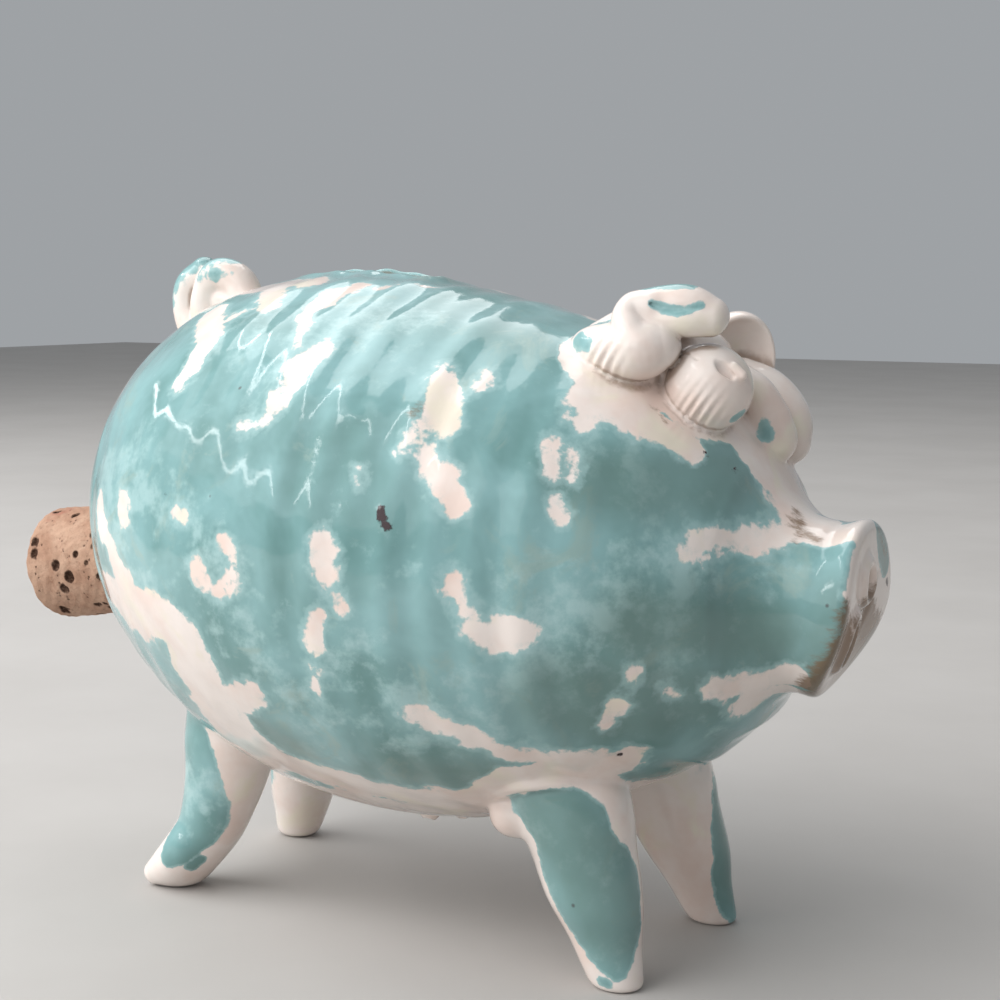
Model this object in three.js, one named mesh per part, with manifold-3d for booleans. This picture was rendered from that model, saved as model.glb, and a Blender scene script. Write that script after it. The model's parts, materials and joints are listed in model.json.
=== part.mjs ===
// A hand-built glazed pottery pig bank: a wheel-thrown hollow body with a coin slot along its back
// and a bung hole low in its rump, the pieces luted onto it (snout, legs, ears, eyes, tail), and
// the tapered cork that closes the hole.
// Millimetres, +Z up, +X towards the snout, -Y the pig's right side.

import * as THREE from 'three';
import { mergeVertices } from 'three/addons/utils/BufferGeometryUtils.js';
import Module from 'manifold-3d';

const wasm = await Module();
wasm.setup();

const { degToRad, smoothstep, lerp } = THREE.MathUtils;

// ---------------------------------------------------------------- driving dimensions

const GAP = 0.3;                 // left between a luted piece and the body
const WALL = 6;                  // thrown wall
const ORIGIN_X = 8.6;            // moves the feet so that the origin is below the middle

const BELLY = { x: -8, radius: 66.3 };       // the widest ring
const RUMP_LENGTH = 86.5;                     // widest ring back to the rump's pole
const FULLNESS = 0.59;                       // rump's roundness, where 0.55 is an ellipse
const CHEEK = { x: 88, radius: 31 };         // where the face turns into the muzzle
const MUZZLE = { x: 104, radius: 18.6 };     // narrow end of the thrown form
const RUMP_HEIGHT = 100;                     // body axis above the ground at the rump
const AXIS_DROP = 8.4;                       // how far the axis falls to the shoulders
const MUZZLE_DROP = 5;                       // and again along the muzzle
const MUZZLE_SWAY = 4;                       // the muzzle bends this far to the pig's left

const SLOT = { x: -19, length: 40, width: 5.6 };
const CORK = { length: 42, inner: 14.8, outer: 16, chamfer: 1.6, droop: 8, end: [-129.5, 0, 77.4] };

const SNOUT = { radius: 19.4, rim: 20.8, depth: 12.5, bow: 7, lean: 15, turn: 6 };
const SNOUT_BASE = [99.2, 3.6, 87.4];

const FOOT_X = { front: 65, rear: 67 };      // sole centres ahead of and behind the middle
const FOOT_Y = { right: 23, left: 27 };      // and to each side of it
const ROOT_Y = 19.5;                         // leg centres where they meet the belly
const LEG_TOP = 50;
const LEG_FLATNESS = 0.86;                   // width over length of a leg's section
const FRONT_LEAN = 18;                       // front leg's top behind its sole
const REAR_SWEEP = { right: 17, left: 7 };    // each rear leg's top ahead of its sole

const EYE_RIGHT = { centre: [79, -9, 135.3], radius: 9.7 };
const EYE_LEFT = { centre: [80.5, 18.5, 126.6], radius: 10.6 };

// ---------------------------------------------------------------- solids and meshes

function toSolid(geometry) {
  geometry.deleteAttribute('normal');
  geometry.deleteAttribute('uv');
  const merged = mergeVertices(geometry, 1e-3);
  const index = merged.index.array;
  const triVerts = [];
  for (let i = 0; i < index.length; i += 3) {
    const [a, b, c] = [index[i], index[i + 1], index[i + 2]];
    if (a !== b && b !== c && c !== a) triVerts.push(a, b, c);
  }
  return new wasm.Manifold(new wasm.Mesh({
    numProp: 3,
    vertProperties: new Float32Array(merged.attributes.position.array),
    triVerts: new Uint32Array(triVerts),
  }));
}

function toMesh(name, solid, color, roughness = 0.12) {
  const { numProp, vertProperties, triVerts } = solid.getMesh();
  const geometry = new THREE.BufferGeometry();
  const buffer = new THREE.InterleavedBuffer(vertProperties, numProp);
  geometry.setAttribute('position', new THREE.InterleavedBufferAttribute(buffer, 3, 0));
  geometry.setIndex(new THREE.BufferAttribute(triVerts, 1));
  geometry.computeVertexNormals();
  const material = new THREE.MeshStandardMaterial({ color, roughness, metalness: 0 });
  const mesh = new THREE.Mesh(geometry, material);
  mesh.name = name;
  return mesh;
}

// Moves every point of a geometry: move(point) changes the Vector3 it is given.
function deform(geometry, move) {
  const position = geometry.attributes.position;
  const point = new THREE.Vector3();
  for (let i = 0; i < position.count; i += 1) {
    move(point.fromBufferAttribute(position, i));
    position.setXYZ(i, point.x, point.y, point.z);
  }
  return geometry;
}

// An outline of [radius, height] pairs turned about Z.
function turned(outline, sides) {
  const points = outline.map(([radius, height]) => new THREE.Vector2(radius, height));
  return new THREE.LatheGeometry(points, sides).rotateX(Math.PI / 2);
}

function ellipsoid(radii, centre, tilt = [0, 0, 0]) {
  const geometry = new THREE.SphereGeometry(1, 18, 12);
  geometry.scale(...radii);
  const turn = new THREE.Euler(...tilt.map(degToRad));
  geometry.applyMatrix4(new THREE.Matrix4().makeRotationFromEuler(turn));
  return toSolid(geometry.translate(...centre));
}

// A roll of clay along a smooth line through the given points, with its radius at each of them.
function clayRoll(points, radii, { sides = 10, steps = 14 } = {}) {
  const line = new THREE.CatmullRomCurve3(points.map((p) => new THREE.Vector3(...p)));
  const girth = new THREE.SplineCurve(radii.map((radius, i) => new THREE.Vector2(i, radius)));
  const frames = line.computeFrenetFrames(steps);
  const outline = [[0, 0]];
  for (let i = 0; i <= steps; i += 1) outline.push([1, i]);
  outline.push([0, steps]);
  const roll = turned(outline, sides);
  deform(roll, (p) => {
    const step = Math.round(p.z);
    const t = step / steps;
    const end = Math.sqrt(Math.max(1 - (2 * t - 1) ** 8, 0.15));
    const radius = girth.getPoint(t).y * end;
    const { x, y } = p;
    line.getPointAt(t, p);
    p.addScaledVector(frames.normals[step], radius * x);
    p.addScaledVector(frames.binormals[step], radius * y);
  });
  return toSolid(roll);
}

// ---------------------------------------------------------------- the thrown form

// Half outline of the body, from the rump's pole to the muzzle's end, as distance along the
// body and radius.
function bodyOutline() {
  const outline = new THREE.Path();
  const pole = BELLY.x - RUMP_LENGTH;
  outline.moveTo(pole, 0);
  outline.bezierCurveTo(pole, FULLNESS * BELLY.radius, BELLY.x - FULLNESS * RUMP_LENGTH, BELLY.radius,
    BELLY.x, BELLY.radius);
  outline.bezierCurveTo(22, BELLY.radius, 68, 55, CHEEK.x, CHEEK.radius);
  outline.quadraticCurveTo(94, MUZZLE.radius + 0.5, MUZZLE.x, MUZZLE.radius);
  return outline;
}

// The body's axis sinks towards the shoulders and again along the muzzle, which also bends aside.
function axisHeight(x) {
  return RUMP_HEIGHT - AXIS_DROP * smoothstep(x, -85, 25) - MUZZLE_DROP * smoothstep(x, 65, 105);
}

function axisSway(x) {
  return MUZZLE_SWAY * smoothstep(x, 55, 105);
}

// The whole form as a solid, its skin moved out by grow.
function thrownForm(grow, { sides = 40, steps = 22 } = {}) {
  const outline = bodyOutline();
  const points = [];
  for (let i = 0; i <= steps; i += 1) {
    const point = outline.getPointAt(i / steps);
    const tangent = outline.getTangentAt(i / steps);
    points.push([Math.max(point.y + tangent.x * grow, 0), point.x - tangent.y * grow]);
  }
  points[0][0] = 0;
  points.push([0, MUZZLE.x + grow]);
  const form = turned(points, sides).rotateY(Math.PI / 2);
  return toSolid(deform(form, (p) => {
    p.y += axisSway(p.x);
    p.z += axisHeight(p.x);
  }));
}

const grownBody = thrownForm(GAP);
const onBody = (piece) => piece.subtract(grownBody);

// ---------------------------------------------------------------- snout

// The snout's own frame, +X out of its face, moved along that axis by shift.
function snoutFrame(shift) {
  const turn = new THREE.Euler(0, degToRad(SNOUT.lean), degToRad(SNOUT.turn), 'ZYX');
  const matrix = new THREE.Matrix4().makeRotationFromEuler(turn);
  const axis = new THREE.Vector3(1, 0, 0).transformDirection(matrix);
  return matrix.setPosition(new THREE.Vector3(...SNOUT_BASE).addScaledVector(axis, shift));
}

// A block that trims whatever lies ahead of the muzzle's flat end.
function muzzleTrim(shift) {
  const block = new THREE.BoxGeometry(60, 90, 90).translate(30, 0, 0);
  return toSolid(block.applyMatrix4(snoutFrame(shift)));
}

// A flared plate with its face bowed from top to bottom, and two pressed nostrils.
function snoutDisc() {
  const { radius, rim, depth } = SNOUT;
  const outline = [[0, 0], [radius, 0], [radius, 2], [rim, depth - 5], [rim, depth - 2.5],
    [rim - 1.5, depth - 0.4], [rim - 4, depth], [rim - 8, depth - 0.8], [0, depth - 1.6]];
  const plate = turned(outline, 32).rotateY(Math.PI / 2);
  deform(plate, (p) => {
    p.x -= SNOUT.bow * (p.z / rim) ** 2 * (p.x / depth);
  });
  const disc = toSolid(plate.applyMatrix4(snoutFrame(GAP)));
  return [[-7, -6.5, -15], [7, 1.5, 15]].reduce((solid, [across, up, tilt]) => {
    const dent = new THREE.SphereGeometry(1, 12, 8).scale(4, 2.6, 5.4);
    dent.rotateX(degToRad(tilt)).translate(SNOUT.depth - 1, across, up);
    return solid.subtract(toSolid(dent.applyMatrix4(snoutFrame(GAP))));
  }, disc);
}

// ---------------------------------------------------------------- legs

// A tapered column on a flat sole, whose centre is at alongAt(height) and leans in to its root.
function leg(side, outline, alongAt) {
  const column = turned(outline, 18);
  const sign = side === 'left' ? 1 : -1;
  return onBody(toSolid(deform(column, (p) => {
    p.x += alongAt(p.z);
    p.y = p.y * LEG_FLATNESS + sign * lerp(FOOT_Y[side], ROOT_Y, p.z / LEG_TOP);
  })));
}

function frontLeg(side) {
  const outline = [[0, 0], [4.6, 0], [6.6, 1.8], [8.6, 10], [11.4, 19], [13.2, 30], [15.6, 38], [15, 46],
    [9, LEG_TOP], [0, LEG_TOP]];
  return leg(side, outline, (z) => FOOT_X.front - FRONT_LEAN * (z / LEG_TOP));
}

function rearLeg(side) {
  const outline = [[0, 0], [5, 0], [6.6, 1.8], [8, 7], [9.4, 14], [10.2, 22], [11.6, 32], [13, 42],
    [9, LEG_TOP], [0, LEG_TOP]];
  return leg(side, outline, (z) => REAR_SWEEP[side] * (1 - (1 - z / LEG_TOP) ** 2.4) - FOOT_X.rear);
}

// ---------------------------------------------------------------- eyes, ears and tail

function rightEye() {
  const [x, y, z] = EYE_RIGHT.centre;
  const ball = ellipsoid([EYE_RIGHT.radius, EYE_RIGHT.radius, EYE_RIGHT.radius], EYE_RIGHT.centre);
  const pit = ellipsoid([1.8, 1.4, 3.6], [x + 5.6, y - 4.6, z + 6.4], [0, 50, 20]);
  return onBody(ball.subtract(pit));
}

function leftEye() {
  const [x, y, z] = EYE_LEFT.centre;
  const ball = ellipsoid([EYE_LEFT.radius, EYE_LEFT.radius, EYE_LEFT.radius], EYE_LEFT.centre);
  const groove = ellipsoid([1.2, 3, 8], [x + 6.5, y - 8.5, z - 1], [0, -20, 30]);
  return onBody(ball.subtract(groove));
}

// A thick roll lying on the head, whose front end folds back up over it as a floppy tip.
function rightEar() {
  const rollLine = [[48, -14, 144], [55, -17, 144], [63, -18, 143.4], [70, -16.5, 144.5]];
  const roll = clayRoll(rollLine, [3, 6, 6.8, 5.6]);
  const flapLine = [[63, -16, 150.5], [70, -14, 152], [77, -11.5, 152.2], [83, -9, 150.6]];
  const flap = clayRoll(flapLine, [4, 5.4, 5.6, 4.2]);
  const fold = ellipsoid([5, 4, 5], [66, -15.5, 148.5]);
  return onBody(roll.add(flap).add(fold)).subtract(grownEye(EYE_RIGHT));
}

function grownEye({ centre, radius }) {
  const grown = radius + GAP;
  return ellipsoid([grown, grown, grown], centre);
}

// An upright cupped petal, hollow towards the front.
function leftEar() {
  const petal = ellipsoid([10, 8, 13], [70.5, 22, 138.5], [0, 24, -20]);
  const cup = ellipsoid([8, 6.5, 10], [75, 17.5, 139], [0, 24, -20]);
  return onBody(petal.subtract(cup)).subtract(grownEye(EYE_LEFT));
}

// A short curl: one roll over the rump and one standing coil behind it.
function curlyTail() {
  const rootLine = [[-60, 1, 153], [-64, 1, 159.6], [-70.4, 0, 159.6], [-73, 0, 150]];
  const root = clayRoll(rootLine, [4.2, 4.6, 4.6, 4.6]);
  const curlLine = [[-71, 0, 145], [-76, 1, 143.5], [-81.5, 2, 154.5], [-76, 3, 164.6]];
  const curl = clayRoll(curlLine, [4.4, 4.6, 4.6, 3.6]);
  const turn = ellipsoid([4.6, 4.6, 5.4], [-73.4, 0.4, 147.4]);
  return onBody(root.add(turn).add(curl));
}

// ---------------------------------------------------------------- cork

// The cork's own frame: its outer end's centre, with its length running inwards along +Z.
function corkFrame() {
  const inwards = new THREE.Matrix4().makeRotationY(degToRad(90 - CORK.droop));
  return inwards.setPosition(...CORK.end);
}

function corkStopper() {
  const { length, inner, outer, chamfer } = CORK;
  const outline = [[0, 0], [outer - 2 * chamfer, 0], [outer, 1.8 * chamfer], [inner, length - chamfer],
    [inner - chamfer, length], [0, length]];
  return toSolid(turned(outline, 32).applyMatrix4(corkFrame()));
}

// The same taper with a running gap, longer at both ends, which cuts the hole in the rump.
function bungHole() {
  const over = 12;
  const widening = (over * (CORK.outer - CORK.inner)) / CORK.length;
  const mouth = [CORK.outer + GAP + widening, -over];
  const far = [CORK.inner + GAP - widening, CORK.length + over];
  const outline = [[0, -over], mouth, far, [0, CORK.length + over]];
  return toSolid(turned(outline, 32).applyMatrix4(corkFrame()));
}

// ---------------------------------------------------------------- body shell

function coinSlot() {
  const half = SLOT.width / 2;
  const reach = SLOT.length / 2 - half;
  const shape = new THREE.Shape();
  shape.absarc(reach, 0, half, -Math.PI / 2, Math.PI / 2);
  shape.absarc(-reach, 0, half, Math.PI / 2, 1.5 * Math.PI);
  const cut = new THREE.ExtrudeGeometry(shape, { depth: 40, bevelEnabled: false, curveSegments: 8 });
  return toSolid(cut.translate(SLOT.x, 0, 135));
}

function bodyShell() {
  const hollow = thrownForm(-WALL, { sides: 30, steps: 14 }).subtract(muzzleTrim(-WALL));
  return thrownForm(0)
    .subtract(hollow)
    .subtract(coinSlot())
    .subtract(bungHole())
    .subtract(muzzleTrim(0));
}

// ---------------------------------------------------------------- the bank

const TEAL = 0x86ada6;
const SLIP_WHITE = 0xe6d5cc;
const CORK_TAN = 0xc39c86;

const bank = new THREE.Group();
bank.position.x = ORIGIN_X;
bank.add(toMesh('body_shell', bodyShell(), TEAL));
bank.add(toMesh('snout_disc', snoutDisc(), SLIP_WHITE));
for (const side of ['right', 'left']) {
  bank.add(toMesh(`leg_front_${side}`, frontLeg(side), TEAL));
  bank.add(toMesh(`leg_rear_${side}`, rearLeg(side), TEAL));
}
bank.add(toMesh('eye_right', rightEye(), SLIP_WHITE));
bank.add(toMesh('eye_left', leftEye(), SLIP_WHITE));
bank.add(toMesh('ear_right', rightEar(), SLIP_WHITE));
bank.add(toMesh('ear_left', leftEar(), SLIP_WHITE));
bank.add(toMesh('tail', curlyTail(), SLIP_WHITE));
bank.add(toMesh('cork_stopper', corkStopper(), CORK_TAN, 0.85));

export default bank;
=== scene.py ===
"""Looks for the pottery pig bank: hand-shaped skins, sponged glaze and a pitted cork around the CAD frame.

Every ceramic piece is cut out of one distance field, so that the luted parts melt into the body as
glazed clay does. Fields work in millimetres in the feet's frame: x from between the feet towards the
snout, y towards the pig's left, z up. Meshes are written in metres in the row frame.
"""

import json
import math

import bpy
import numpy as np
from mathutils import Euler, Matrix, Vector


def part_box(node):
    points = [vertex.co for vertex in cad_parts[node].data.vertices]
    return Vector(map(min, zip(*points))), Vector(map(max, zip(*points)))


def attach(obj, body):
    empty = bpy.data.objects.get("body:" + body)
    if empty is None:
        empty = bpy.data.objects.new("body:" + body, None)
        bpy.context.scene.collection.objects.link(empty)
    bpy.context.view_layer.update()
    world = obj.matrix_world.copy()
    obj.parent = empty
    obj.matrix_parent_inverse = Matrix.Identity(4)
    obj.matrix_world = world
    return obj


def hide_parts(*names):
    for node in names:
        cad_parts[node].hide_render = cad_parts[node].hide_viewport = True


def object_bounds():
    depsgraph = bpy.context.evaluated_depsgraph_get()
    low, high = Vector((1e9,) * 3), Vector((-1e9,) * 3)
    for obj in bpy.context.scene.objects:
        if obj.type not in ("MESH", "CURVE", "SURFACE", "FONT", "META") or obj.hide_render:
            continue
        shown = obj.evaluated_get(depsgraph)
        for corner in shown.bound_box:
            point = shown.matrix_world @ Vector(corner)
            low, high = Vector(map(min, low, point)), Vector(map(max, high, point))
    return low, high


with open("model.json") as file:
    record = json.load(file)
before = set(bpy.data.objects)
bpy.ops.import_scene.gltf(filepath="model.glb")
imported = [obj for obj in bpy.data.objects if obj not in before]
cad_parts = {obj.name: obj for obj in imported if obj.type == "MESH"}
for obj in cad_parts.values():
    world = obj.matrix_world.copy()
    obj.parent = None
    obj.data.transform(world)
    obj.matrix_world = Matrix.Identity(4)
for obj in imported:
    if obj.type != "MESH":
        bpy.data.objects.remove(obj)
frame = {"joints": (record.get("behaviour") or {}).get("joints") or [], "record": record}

CAD_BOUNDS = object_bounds()

# ------ camera

CAMERA_PLACE = (0.2569, -0.364, 0.1586)  # metres
CAMERA_TURN = 32.2  # degrees left of straight ahead
CAMERA_DIP = 7.05  # degrees below the horizon
CAMERA_LENS = 64.08


def add_object(name, data):
    made = bpy.data.objects.new(name, data)
    bpy.context.scene.collection.objects.link(made)
    return made


def make_camera():
    data = bpy.data.cameras.new("camera")
    data.lens = CAMERA_LENS
    data.sensor_width = 36
    data.clip_start = 0.01
    camera = add_object("camera", data)
    camera.location = CAMERA_PLACE
    camera.rotation_euler = (math.radians(90 - CAMERA_DIP), 0, math.radians(CAMERA_TURN))
    bpy.context.scene.camera = camera


make_camera()

# ------ what the frame says

MM = 0.001
MOUNTS = {mount["name"]: mount for mount in frame["record"]["mounts"]}
OPENINGS = {opening["name"]: opening for opening in frame["record"]["physics"]["openings"]}
FOOT_REACH = 65  # front soles ahead of the feet's middle
ORIGIN_X = MOUNTS["sole_front_right"]["pos_m"][0] / MM - FOOT_REACH


def to_feet(point):
    """A row frame point in metres, as a feet's frame point in millimetres."""
    return np.array(point, float) / MM - (ORIGIN_X, 0, 0)


def node_box(node, margin=0.0):
    low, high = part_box(node)
    return to_feet(low) - margin, to_feet(high) + margin


def sole(name):
    return to_feet(MOUNTS["sole_" + name]["pos_m"])


# ------ driving dimensions, in millimetres and degrees

WALL = 6
BELLY_X = -8  # the widest ring
BELLY_RADIUS = (CAD_BOUNDS[1][1] - CAD_BOUNDS[0][1]) / 2 / MM
RING_ROOM = 0.13  # the wall sits this much deeper, to keep its rings inside the CAD's width
RUMP_LENGTH = 86.5
FULLNESS = 0.59
CHEEK = (88, 31)
MUZZLE = (104, 18.6)
RUMP_HEIGHT = 100
AXIS_DROP = 8.4
MUZZLE_DROP = 5
MUZZLE_SWAY = 4

SNOUT_BASE = np.array((99.2, 3.6, 87.4))
SNOUT_ANGLES = (0, 15, 6)
SNOUT_DEPTH = 12.5
SNOUT_RIM = 20.8
SNOUT_BOW = 7

CORK_END = np.array((-129.5, 0, 77.4))  # centre of the cork's outer end
CORK_LENGTH = 42
CORK_OUTER = 16
CORK_INNER = 14.8
BUNG_ROOM = 0.35  # the hole is this much wider than the cork all round
BUNG_DEPTH = CORK_LENGTH + 15  # and is cut this far in, past the wall
CORK_INWARD = -np.array(frame["joints"][0]["axis"], float)

# ------ field tools
# A field takes points as an array of three rows and gives each one's distance to a surface.


def smoothstep(value, low, high):
    share = np.clip((value - low) / (high - low), 0, 1)
    return share * share * (3 - 2 * share)


def join(a, b, blend):
    """Two shapes as one, with a fillet about blend wide where they meet."""
    overlap = np.maximum(blend - np.abs(a - b), 0) / blend
    return np.minimum(a, b) - overlap ** 3 * blend / 6


def common(a, b, blend):
    return -join(-a, -b, blend)


def cut(a, b, blend):
    return common(a, -b, blend)


def turning(angles):
    """The matrix that turns by angles in degrees about x, y and z."""
    return np.array(Euler([math.radians(angle) for angle in angles]).to_matrix())


def turned_to(points, centre, angles):
    """Points in the frame of something at centre, turned by angles."""
    return turning(angles).T @ (points - np.reshape(centre, (3, 1)))


def ellipsoid(points, centre, radii, angles=(0, 0, 0)):
    local = turned_to(points, centre, angles)
    radii = np.reshape(radii, (3, 1)).astype(float)
    reach = np.linalg.norm(local / radii, axis=0)
    slope = np.linalg.norm(local / radii ** 2, axis=0) + 1e-9
    return reach * (reach - 1) / slope


def spline(knots, steps=8):
    """Catmull-Rom line through the knots, each of which may hold a radius after its place."""
    knots = np.array(knots, float)
    ends = np.vstack([2 * knots[0] - knots[1], knots, 2 * knots[-1] - knots[-2]])
    line = []
    for a, b, c, d in zip(ends, ends[1:], ends[2:], ends[3:]):
        for t in np.arange(steps) / steps:
            line.append(b + 0.5 * t * (c - a + t * (2 * a - 5 * b + 4 * c - d
                                                    + t * (3 * (b - c) + d - a))))
    return np.array(line + [knots[-1]])


def roll(points, knots, steps=8):
    """A roll of clay through knots of x, y, z and radius."""
    line = spline(knots, steps)
    nearest = np.full(points.shape[1], 1e9)
    for start, end in zip(line, line[1:]):
        along = end[:3] - start[:3]
        offset = points - start[:3, None]
        share = np.clip(along @ offset / (along @ along), 0, 1)
        gap = np.linalg.norm(offset - along[:, None] * share, axis=0)
        nearest = np.minimum(nearest, gap - start[3] - share * (end[3] - start[3]))
    return nearest


def within(points, low, high):
    return np.all((points > low[:, None]) & (points < high[:, None]), axis=0)


def near(points, centre, reach):
    """1 at centre, falling smoothly to nothing at about twice reach."""
    gap = np.sum((points - np.reshape(centre, (3, 1))) ** 2, axis=0)
    return np.exp(-gap / reach ** 2)


def waves(points, direction, spacing, phase=0.0):
    direction = np.array(direction, float) / np.linalg.norm(direction)
    return np.sin(2 * np.pi * (direction @ points) / spacing + phase)


# ------ the thrown body

TABLE_STEP = 0.5
TABLE_START = (-112, 0)
TABLE_END = (126, 96)


def bezier(*corners, steps=24):
    t = np.linspace(0, 1, steps)[:, None]
    points = [np.array(corner, float)[None] * np.ones_like(t) for corner in corners]
    while len(points) > 1:
        points = [a * (1 - t) + b * t for a, b in zip(points, points[1:])]
    return points[0]


def body_outline():
    """Half outline, from the rump's pole to the muzzle's end, as distance along the body and radius."""
    pole = BELLY_X - RUMP_LENGTH
    rump = bezier((pole, 0), (pole, FULLNESS * BELLY_RADIUS),
                  (BELLY_X - FULLNESS * RUMP_LENGTH, BELLY_RADIUS), (BELLY_X, BELLY_RADIUS))
    flank = bezier((BELLY_X, BELLY_RADIUS), (22, BELLY_RADIUS), (68, 55), CHEEK)
    muzzle = bezier(CHEEK, (94, MUZZLE[1] + 0.5), MUZZLE)
    return np.vstack([rump, flank[1:], muzzle[1:]])


OUTLINE = body_outline()


def outline_table():
    """Signed distance to the half outline, on a grid of distance along and radius."""
    along = np.arange(TABLE_START[0], TABLE_END[0], TABLE_STEP)
    radius = np.arange(TABLE_START[1], TABLE_END[1], TABLE_STEP)
    a, r = np.meshgrid(along, radius, indexing="ij")
    best = np.full(a.shape, 1e9)
    corners = np.vstack([OUTLINE, (MUZZLE[0], 0)])
    for start, end in zip(corners, corners[1:]):
        da, dr = end - start
        share = np.clip(((a - start[0]) * da + (r - start[1]) * dr) / (da * da + dr * dr), 0, 1)
        best = np.minimum(best, np.hypot(a - start[0] - share * da, r - start[1] - share * dr))
    skin = np.interp(a, OUTLINE[:, 0], OUTLINE[:, 1], left=-1, right=-1)
    return np.where(r < skin, -best, best)


TABLE = outline_table()


def outline_distance(x, radius):
    i = np.clip((x - TABLE_START[0]) / TABLE_STEP, 0, TABLE.shape[0] - 1.001)
    j = np.clip((radius - TABLE_START[1]) / TABLE_STEP, 0, TABLE.shape[1] - 1.001)
    i0 = i.astype(int)
    j0 = j.astype(int)
    fi = i - i0
    fj = j - j0
    near_axis = TABLE[i0, j0] * (1 - fi) + TABLE[i0 + 1, j0] * fi
    outside = TABLE[i0, j0 + 1] * (1 - fi) + TABLE[i0 + 1, j0 + 1] * fi
    return near_axis * (1 - fj) + outside * fj


def axis_height(x):
    drop = AXIS_DROP * smoothstep(x, -85, 25) + MUZZLE_DROP * smoothstep(x, 65, 105)
    return RUMP_HEIGHT - drop


def axis_sway(x):
    return MUZZLE_SWAY * smoothstep(x, 55, 105)


def on_skin(x, turn):
    """A point on the body: turn is 0 on the pig's right side, 90 on its back and -90 on its belly."""
    radius = np.interp(x, OUTLINE[:, 0], OUTLINE[:, 1])
    angle = math.radians(turn)
    return np.array((x, axis_sway(x) - radius * math.cos(angle), axis_height(x) + radius * math.sin(angle)))


def thrown(points):
    x, y, z = points
    return outline_distance(x, np.hypot(y - axis_sway(x), z - axis_height(x)))


def throwing_marks(points):
    """The rings that fingers leave on the wheel, and the dents of handling since."""
    x, y, z = points
    turn = np.arctan2(z - axis_height(x), -(y - axis_sway(x)))
    drift = 1.1 * np.sin(turn + 0.4) + 0.6 * np.sin(2 * turn + 1.9)
    rings = 0.23 * np.sin(2 * np.pi * x / 9.3 + drift)
    rings += 0.17 * np.sin(2 * np.pi * x / 14.7 + 1.3 * drift + 1.0)
    rings *= 0.55 + 0.45 * np.sin(x / 23 + 1.5 * np.sin(turn))
    dents = 0.22 * waves(points, (0.5, 0.4, 1), 31) + 0.2 * waves(points, (-0.3, 1, 0.6), 23, 2)
    dents += 0.09 * waves(points, (1, -0.2, 0.5), 12, 1) * waves(points, (0.1, 0.9, -0.6), 17, 0.5)
    return rings + dents


def snout_frame(points):
    return turned_to(points, SNOUT_BASE, SNOUT_ANGLES)


CREST = [(65, -12, 140, 4.5), (70, -5, 142.6, 5.4), (71.5, 4, 141.5, 6), (69, 13, 138.5, 5.6)]
CREST_LOW = 125  # the crest changes nothing below this, nor behind the shoulder
SHOULDER = 50
BLISTER = on_skin(15, 35)
DRIPS = [(-13, -6, 27, 1.2), (-9.4, -5, 25.8, 1.5), (-4, -5, 27, 0.8), (1.4, -5, 25, 1.7),
         (6, -6, 27.4, 0.8), (13, -7, 27.2, 1.2)]
DRIPS_HIGH = 34  # and the drips nothing above this, nor past their reach
DRIPS_REACH = 24


def body_skin(points):
    """The outside of the body, with the crest between its ears, before slot and bung hole are cut."""
    shape = thrown(points) + RING_ROOM - throwing_marks(points)
    close = (points[2] > CREST_LOW) & (points[0] > SHOULDER)
    shape[close] = join(shape[close], roll(points[:, close], CREST), 7)
    shape -= 0.5 * near(points, BLISTER, 1.8)
    close = (points[2] < DRIPS_HIGH) & (np.abs(points[0]) < DRIPS_REACH)
    shape[close] = join(shape[close], roll(points[:, close], DRIPS), 2.4)
    ahead = snout_frame(points)[0]
    return common(shape, ahead - 1, 7)


# ------ slot, bung hole and hollow

SLOT_LOW, SLOT_HIGH = (to_feet(corner) for corner in OPENINGS["coin_slot"]["box_m"])
SLOT_HALF_WIDTH = 2.8
SLOT_REACH = (SLOT_HIGH[0] - SLOT_LOW[0]) / 2 + 0.2
SLOT_X = (SLOT_HIGH[0] + SLOT_LOW[0]) / 2
SLOT_FLOOR = 130  # the cut stops above this, inside the hollow
SLOT_ROOM = 0.5  # the body is cut this much wider than the slot's own rim
RIM_DEPTH = WALL - 0.4  # the rim ends inside the wall, and above this floor
RIM_FLOOR = 135
LIP_REACH = 6.5
LIP_HEIGHT = 0.8


def slot_gap(points):
    """Distance out from the slot's edge, seen from above."""
    x, y, z = points
    return np.hypot(np.maximum(np.abs(x - SLOT_X) - SLOT_REACH, 0), y) - SLOT_HALF_WIDTH


def bung_gap(points):
    """Distance out from the tapered hole, and how far in along its axis."""
    offset = points - CORK_END[:, None]
    inward = CORK_INWARD @ offset
    out = np.linalg.norm(offset - CORK_INWARD[:, None] * inward, axis=0)
    taper = (CORK_OUTER - CORK_INNER) / CORK_LENGTH
    return out - (CORK_OUTER - taper * inward) - BUNG_ROOM, inward


def hollow(points):
    return np.maximum(thrown(points) + WALL, snout_frame(points)[0] + WALL)


def is_inner(points):
    """Whether each point of the wall's two faces is on the hollow's side."""
    return thrown(points) < -0.4 * WALL


# ------ luted parts


def leg(points, foot, top, girths, flatness, bend=1):
    """A tapered column from foot up to top. Girths are pairs of height and radius."""
    x, y, z = points
    share = np.clip(z / top[2], 0, 1.15)
    middle_x = foot[0] + (top[0] - foot[0]) * (1 - (1 - np.minimum(share, 1)) ** bend)
    middle_y = foot[1] + (top[1] - foot[1]) * share
    heights, radii = spline(girths).T
    girth = np.interp(z, heights, radii)
    column = (np.hypot(x - middle_x, (y - middle_y) / flatness) - girth) * 0.92
    column = common(column, z - top[2], 5)
    return common(column, -z, 2.2)


FRONT_GIRTHS = [(0, 5.6), (2, 6.7), (10, 8.6), (19, 11.4), (30, 13), (38, 14.6), (46, 14.6), (54, 10)]
REAR_GIRTHS = [(0, 5.2), (2, 6.5), (7, 7.8), (14, 9.4), (22, 10.2), (32, 11.6), (42, 13), (54, 12)]


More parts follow.
